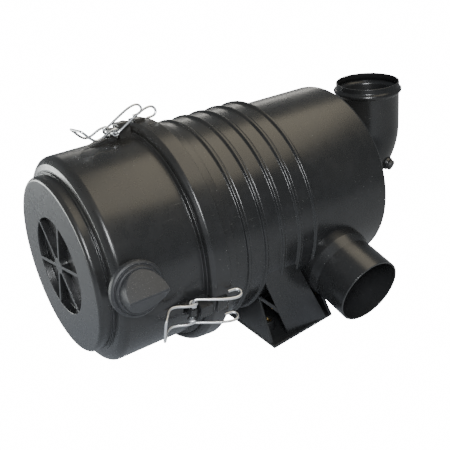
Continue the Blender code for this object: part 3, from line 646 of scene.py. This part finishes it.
# ---- service cover ----
def cover_outline(sizes):
    """Section of the cover from the hub of its nose to the rim, then back along the inside."""
    r, nose, flange = sizes.side_r, sizes.nose_r, sizes.flange_r
    shoulder = NOSE_X + 0.0210
    root, floor, wall = shoulder - 0.0032, NOSE_X + sizes.recess_depth, 0.0030
    lip = SEAT_X - 0.0236
    return [
        (NOSE_X, 0.0005, 0), (NOSE_X, 0.0110, 0.0006), (floor, 0.0116, 0.0006),
        (floor, sizes.recess_r - 0.0014, 0.0008), (NOSE_X, sizes.recess_r, 0.0012),
        (NOSE_X, nose, 0.0056), (root - 0.0024, nose, 0.0008),
        (root - 0.0024, flange, 0.0008), (root, flange, 0.0006), (root, flange + 0.0020, 0.0012),
        (shoulder - 0.0018, flange + 0.0090, 0.0040), (shoulder + 0.0040, r, 0.0090), (lip - 0.0016, r, 0.0010),
        (lip, 0.1470, 0.0008), (lip + 0.0036, 0.1477, 0.0008), (lip + 0.0040, r, 0.0004),
        (RIM_X, r, 0.0006), (RIM_X, r - wall, 0.0006), (shoulder + 0.013, r - wall, 0.006),
        (shoulder + 0.001, nose - wall, 0.004), (NOSE_X + wall, nose - wall, 0.003),
        (NOSE_X + wall, sizes.recess_r + wall, 0.001), (floor + wall, sizes.recess_r, 0.001),
        (floor + wall, 0.0005, 0),
    ]


def make_cover(sizes, finish):
    """Moulded cover with nose, spokes, hub, latch brackets and dust spout."""
    cover = turn_up(cover_outline(sizes), ALONG, 192)
    for n in range(sizes.spokes):
        place = Matrix.Translation((0, 0, AXIS_Z)) @ Matrix.Rotation(math.tau * n / sizes.spokes + SPOKE_TURN, 4, "X")
        merge_shape(cover, block((NOSE_X, -0.0024, 0.006), (NOSE_X + sizes.recess_depth + 0.001, 0.0024,
                                                           sizes.recess_r + 0.003), place, 0.0006))
    merge_shape(cover, block((NOSE_X + 0.0150, -0.028, 0.1213), (NOSE_X + 0.0181, 0.028, 0.1300),
                             around(VALVE_ANGLE), 0.0), "DIFFERENCE")
    for angle in LATCH_ANGLES:
        for piece in bracket(angle, sizes.side_r):
            merge_shape(cover, piece)
    spout = [(-0.029, 0.0250, 0), (-0.0065, 0.0250, 0.001), (-0.0065, 0.0290, 0.0008), (-0.0003, 0.0290, 0.0008)]
    merge_shape(cover, turn_up(spout, SPOUT, 96))
    merge_shape(cover, turn_up([(-0.040, 0.0228, 0), (0.01, 0.0228, 0)], SPOUT, 96), "DIFFERENCE")
    return settle(cover, "cover_shell", finish, 30)


def bracket(angle, side_r):
    """Ramp, lug and stop block of one latch."""
    place = around(angle)
    root = side_r - 0.0015
    ramp = [(-0.232, root), (-0.199, root), (-0.199, side_r + 0.006)]
    ramp = [place @ Vector((x, -0.0095, h)) for x, h in ramp]
    pieces = [slab(ramp, place.to_3x3() @ Vector((0, 0.019, 0)), 0.0006)]
    pieces.append(block((-0.1935, -0.006, root), (-0.1845, 0.006, 0.1577), place, 0.0012))
    for side in (-1, 1):
        cheek = sorted((side * 0.0050, side * 0.0095))
        pieces.append(block((-0.199, cheek[0], root), (-0.1870, cheek[1], side_r + 0.0055), place, 0.0008))
    pieces.append(block((-0.1815, -0.0095, root), (SEAT_X - 0.0239, 0.0095, 0.1622), place, 0.0010))
    return pieces


# ---- dust valve ----
def make_valve(finish):
    """Stepped rubber ring with a wedge-shaped bill that closes in a slit along the drum."""
    ring = [(0.0003, 0.0190, 0), (0.0003, 0.0350, 0.0012), (0.0078, 0.0350, 0.0026), (0.0100, 0.0318, 0.0012),
            (0.0088, 0.0304, 0.0010), (0.0135, 0.0290, 0.0020), (0.0135, 0.0255, 0.0010), (0.0110, 0.0250, 0),
            (0.0110, 0.0190, 0), (0.0003, 0.0190, 0)]
    ring = turn_up(ring, SPOUT, 128)
    proud = 0.0385
    bill = turn_up([(0.0095, 0.0262, 0.0), (0.0145, 0.0262, 0.0), (proud, 0.0258, 0.0)], Matrix.Identity(4), 128)
    slope = math.atan2(0.0250, proud - 0.0145)
    for side in (-1, 1):
        bpy.ops.object.mode_set(mode="EDIT")
        bpy.ops.mesh.select_all(action="SELECT")
        bpy.ops.mesh.bisect(plane_co=(0, side * 0.0011, proud), plane_no=(0, side * math.cos(slope), math.sin(slope)),
                            use_fill=True, clear_outer=True)
        bpy.ops.object.mode_set(mode="OBJECT")
    apply_modifier(bill, "BEVEL", width=0.0009, segments=4, limit_method="ANGLE", angle_limit=math.radians(35))
    bill.matrix_world = SPOUT
    bpy.ops.object.transform_apply(location=True, rotation=True, scale=True)
    merge_shape(ring, bill)
    return settle(ring, "valve_rubber", finish, 40)


# ---- latches ----
def mirrored(half):
    """A route and its mirror image across the latch's middle."""
    return half + [Vector((p.x, -p.y, p.z)) for p in reversed(half)]


def hook_route():
    """Hook wire from tip to tip, in (along, aside, out) from its pivot."""
    arm = 0.0212
    outer = [(0.0455, 0.0086), (0.0530, 0.0088), (0.0580, 0.0105), (0.0605, 0.0145), (0.0590, 0.0195),
             (0.0550, 0.0225), (0.0480, 0.0225), (0.0360, 0.0185), (0.0180, 0.0090), (0.0050, 0.0018)]
    half = [Vector((s, arm, h)) for s, h in outer]
    half += [Vector((0.0012, arm - 0.0008, 0.0002)), Vector((0, arm - 0.0026, 0))]
    return mirrored(half + [Vector((0, 0.010, 0)), Vector((0, 0.004, 0))])


def handle_route():
    """Handle wire: an eye on the pivot, a leg, the raised grip and back."""
    eye, pitch, turns = 0.0044, 0.0040, 16
    half = []
    for step in range(turns + 1):
        a = math.radians(-285 + 375 * step / turns)
        aside = 0.0145 - pitch / 2 + pitch * step / turns
        half.append(Vector((eye * math.cos(a), aside, eye * math.sin(a))))
    legs = [(-0.0090, 0.0002, 0.0036), (-0.0230, 0.0010, -0.0036), (-0.0330, 0.0018, -0.0036),
            (-0.0440, 0.0018, 0.0095), (-0.0462, 0.0016, 0.0120), (-0.0473, 0.0004, 0.0131),
            (-0.0475, -0.0022, 0.0132), (-0.0475, -0.0080, 0.0132)]
    return mirrored(half + [Vector((s, 0.0145 + pitch / 2 + y, h)) for s, y, h in legs])


LATCH_ANGLES = (81.5, 197.5, 319.5)
PIVOT_X, PIVOT_R, WIRE_R = -0.189, 0.1535, 0.00173
BEND_R, TUBE_R = 0.0560, 0.0496
BEND_X = REAR_X + 0.0920 - BEND_R
PORT_BORE_R, PORT_R = 0.0472, 0.0499
SPOKE_TURN = math.radians(18.5)
VALVE_ANGLE = 173.0
VALVE_OUT = Vector((0, math.cos(math.radians(VALVE_ANGLE)), math.sin(math.radians(VALVE_ANGLE))))
SPOUT = place_at(Vector((-0.261, 0, AXIS_Z)) + VALVE_OUT * 0.147, VALVE_OUT, (1, 0, 0))
TILT = math.radians(15.5)
INLET_OUT = Vector((0, -math.cos(TILT), -math.sin(TILT)))
INLET = place_at(Vector((0.0628, -0.1980, 0.0744)), INLET_OUT, (1, 0, 0))
PORT_OUT = Vector((0.35, -0.86, -0.37)).normalized()
PORT = place_at(Vector((BEND_X + BEND_R * math.sin(math.pi / 4), 0, AXIS_Z + BEND_R * (1 - math.cos(math.pi / 4))))
                + PORT_OUT * 0.0491, PORT_OUT)


# ---- operators ----
def sizes_of(context):
    """The three groups of settings kept on the scene."""
    return context.scene.filter_housing, context.scene.filter_cover, context.scene.filter_finish


def finish_named(name, context):
    """A finish made once and shared."""
    found = bpy.data.materials.get(f"{name}_finish")
    if found:
        return found
    colours = sizes_of(context)[2]
    makers = {
        "black_plastic": lambda: moulded_plastic("black_plastic", colours.plastic),
        "grey_plastic": lambda: moulded_plastic("grey_plastic", [2.2 * c for c in colours.plastic], 0.5),
        "black_rubber": lambda: dusty_rubber("black_rubber", colours.rubber, colours.dust),
        "zinc_wire": lambda: zinc_wire("zinc_wire", colours.zinc),
        "brass_insert": lambda: turned_brass("brass_insert"),
        "filter_paper": lambda: pleated_paper("filter_paper", colours.paper),
        "safety_felt": lambda: felt("safety_felt"),
        "urethane_cap": lambda: foamed_cap("urethane_cap"),
        "perforated_steel": lambda: perforated_steel("perforated_steel"),
    }
    return makers[name]()


def attach(piece, body, slot, *nodes):
    """Let a piece ride on its body in place of the nodes that it stands for."""
    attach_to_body(piece, body)
    if nodes:
        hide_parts(*nodes)


class FILTER_OT_housing(bpy.types.Operator):
    """Build the drum, its inlet port and its foot"""
    bl_idname = "filter_housing.housing"
    bl_label = "Drum, inlet and foot"

    def execute(self, context):
        finish = finish_named("black_plastic", context)
        drum = make_drum(sizes_of(context)[0], finish)
        attach(drum, "housing", "black_plastic", "housing_body")
        for piece in (make_inlet(finish), make_foot(finish)):
            attach(piece, "housing", "black_plastic")
        return {"FINISHED"}


class FILTER_OT_elbow(bpy.types.Operator):
    """Build the outlet elbow"""
    bl_idname = "filter_housing.elbow"
    bl_label = "Outlet elbow"

    def execute(self, context):
        attach(make_elbow(finish_named("black_plastic", context)), "housing", "black_plastic", "outlet_elbow")
        return {"FINISHED"}


class FILTER_OT_cover(bpy.types.Operator):
    """Build the service cover with its nose and latch brackets"""
    bl_idname = "filter_housing.cover"
    bl_label = "Service cover"

    def execute(self, context):
        cover = make_cover(sizes_of(context)[1], finish_named("black_plastic", context))
        attach(cover, "cover", "black_plastic", "service_cover")
        return {"FINISHED"}


class FILTER_OT_valve(bpy.types.Operator):
    """Build the rubber dust valve"""
    bl_idname = "filter_housing.valve"
    bl_label = "Dust valve"

    def execute(self, context):
        attach(make_valve(finish_named("black_rubber", context)), "cover", "black_rubber", "dust_valve")
        return {"FINISHED"}


class FILTER_OT_latches(bpy.types.Operator):
    """Bend the wires of the three latches"""
    bl_idname = "filter_housing.latches"
    bl_label = "Wire latches"

    def execute(self, context):
        finish = finish_named("zinc_wire", context)
        for number, angle in enumerate(LATCH_ANGLES, start=1):
            place = around(angle, PIVOT_X) @ Matrix.Translation((0, 0, PIVOT_R))
            for part, body, route in (("hook", "hooks", hook_route()), ("handle", "handle", handle_route())):
                wire = bend_wire([place @ p for p in route], WIRE_R)
                wire = settle(wire, f"{part}_wire_{number}", finish, 50)
                attach(wire, f"{body}_{number}", "zinc_wire", f"latch_{part}_{number}")
        return {"FINISHED"}


class FILTER_OT_finishes(bpy.types.Operator):
    """Give the nodes that stay visible their finishes"""
    bl_idname = "filter_housing.finishes"
    bl_label = "Finishes of kept pieces"

    def execute(self, context):
        for part in frame["record"]["subparts"]:
            node = frame["nodes"][part["node"]]
            node.data.materials.clear()
            node.data.materials.append(finish_named(part["material_slot"], context))
        return {"FINISHED"}


class FILTER_OT_stage(bpy.types.Operator):
    """Add the floor, the lights and the camera"""
    bl_idname = "filter_housing.stage"
    bl_label = "Floor, lights and camera"

    def execute(self, context):
        make_floor(sizes_of(context)[2].floor)
        make_lights()
        make_camera()
        return {"FINISHED"}


PAGE_WHITE = 16.0
SOFT_LIGHTS = (
    # name, azimuth and elevation of its place in degrees, distance, size, power, colour
    ("overhead", -15.0, 66.0, 1.6, (1.7, 1.0), 13.0, (1.0, 0.88, 0.66)),
    ("far_side", 62.0, 14.0, 2.0, (1.2, 0.25), 3.0, (1.0, 0.96, 0.88)),
    ("nose_side", 142.0, -8.0, 1.3, (1.3, 0.5), 24.0, (0.97, 1.0, 0.97)),
    ("glint", -122.0, 33.0, 1.7, (0.35, 0.60), 30.0, (0.96, 0.98, 1.0)),
)


def make_floor(colour):
    """Large pale floor under the foot."""
    clear_selection()
    bpy.ops.mesh.primitive_plane_add(size=30.0, location=(0, 0, -0.0005))
    floor = bpy.context.object
    f = Finish("floor")
    grain = f.noise(9.0, 3.0)
    cool = [share * c for share, c in zip((0.60, 0.63, 0.68), colour)]
    f.set(Base_Color=f.mix(grain * 0.05, cool, [0.58 * c for c in colour]), Roughness=0.9)
    page = f.node("ShaderNodeEmission", {}, {"Color": (1.0, 1.0, 1.0), "Strength": PAGE_WHITE})
    seen = f.node("ShaderNodeLightPath", {}, {}, "Is Camera Ray")
    both = f.node("ShaderNodeMixShader", {}, [seen, Wire(f, f.shader.outputs[0]), page])
    f.tree.links.new(both.socket, f.tree.nodes["Material Output"].inputs["Surface"])
    settle(floor, "floor", f.material)


def soft_light(name, place, aim, size, power, colour):
    """A square area light that looks at a place."""
    light = bpy.data.lights.new(name, "AREA")
    light.shape = "RECTANGLE"
    light.size, light.size_y = size
    light.energy = power
    light.color = colour
    obj = bpy.data.objects.new(name, light)
    obj.location = place
    obj.rotation_euler = (Vector(aim) - Vector(place)).to_track_quat("-Z", "Y").to_euler()
    bpy.context.scene.collection.objects.link(obj)


def make_lights():
    """White surroundings to look at, a dim studio around the piece, and large soft lights."""
    world = bpy.data.worlds.new("surroundings")
    world.use_nodes = True
    tree = world.node_tree
    dim = tree.nodes["Background"]
    dim.inputs["Color"].default_value = (0.86, 0.93, 1.0, 1.0)
    dim.inputs["Strength"].default_value = 0.26
    white = tree.nodes.new("ShaderNodeBackground")
    white.inputs["Strength"].default_value = PAGE_WHITE
    seen = tree.nodes.new("ShaderNodeLightPath")
    pick_one = tree.nodes.new("ShaderNodeMixShader")
    tree.links.new(seen.outputs["Is Camera Ray"], pick_one.inputs[0])
    tree.links.new(dim.outputs[0], pick_one.inputs[1])
    tree.links.new(white.outputs[0], pick_one.inputs[2])
    tree.links.new(pick_one.outputs[0], tree.nodes["World Output"].inputs["Surface"])
    bpy.context.scene.world = world
    middle = Vector((0, 0, AXIS_Z))
    for name, azimuth, elevation, distance, size, power, colour in SOFT_LIGHTS:
        az, el = math.radians(azimuth), math.radians(elevation)
        way = Vector((math.cos(az) * math.cos(el), math.sin(az) * math.cos(el), math.sin(el)))
        soft_light(name, middle + way * distance, middle, size, power, colour)


def make_camera():
    """Camera to the front left, looking down a little."""
    data = bpy.data.cameras.new("camera")
    data.sensor_width = 36.0
    data.lens = 61.06
    data.shift_x = 0.0064
    data.shift_y = -0.0656
    data.clip_start, data.clip_end = 0.01, 100.0
    obj = bpy.data.objects.new("camera", data)
    turn = Matrix.Rotation(math.radians(-31.83), 4, "Z") @ Matrix.Rotation(math.radians(90 - 23.91), 4, "X")
    obj.matrix_world = (Matrix.Translation((-0.5777, -0.8670, 0.6411)) @ turn
                        @ Matrix.Rotation(math.radians(-5.16), 4, "Z"))
    bpy.context.scene.collection.objects.link(obj)
    bpy.context.scene.camera = obj


class FILTER_PT_panel(bpy.types.Panel):
    """Lists the settings and the building steps"""
    bl_label = "Air filter housing"
    bl_space_type = "VIEW_3D"
    bl_region_type = "UI"
    bl_category = "Air filter"

    def draw(self, context):
        layout = self.layout
        for group in sizes_of(context):
            box = layout.box()
            for name in group.__annotations__:
                box.prop(group, name)
        for step in STEPS:
            layout.operator(step.bl_idname)


STEPS = (FILTER_OT_finishes, FILTER_OT_housing, FILTER_OT_elbow, FILTER_OT_cover, FILTER_OT_valve,
         FILTER_OT_latches, FILTER_OT_stage)
CLASSES = (HousingSizes, CoverSizes, FinishColours, *STEPS, FILTER_PT_panel)


def register():
    """Register the classes and keep the settings on the scene."""
    for cls in CLASSES:
        bpy.utils.register_class(cls)
    bpy.types.Scene.filter_housing = PointerProperty(type=HousingSizes)
    bpy.types.Scene.filter_cover = PointerProperty(type=CoverSizes)
    bpy.types.Scene.filter_finish = PointerProperty(type=FinishColours)


def unregister():
    """Take the settings and classes away again."""
    del bpy.types.Scene.filter_housing, bpy.types.Scene.filter_cover, bpy.types.Scene.filter_finish
    for cls in reversed(CLASSES):
        bpy.utils.unregister_class(cls)


def main():
    register()
    for step in STEPS:
        group, name = step.bl_idname.split(".")
        getattr(getattr(bpy.ops, group), name)()


if __name__ == "__main__":
    main()
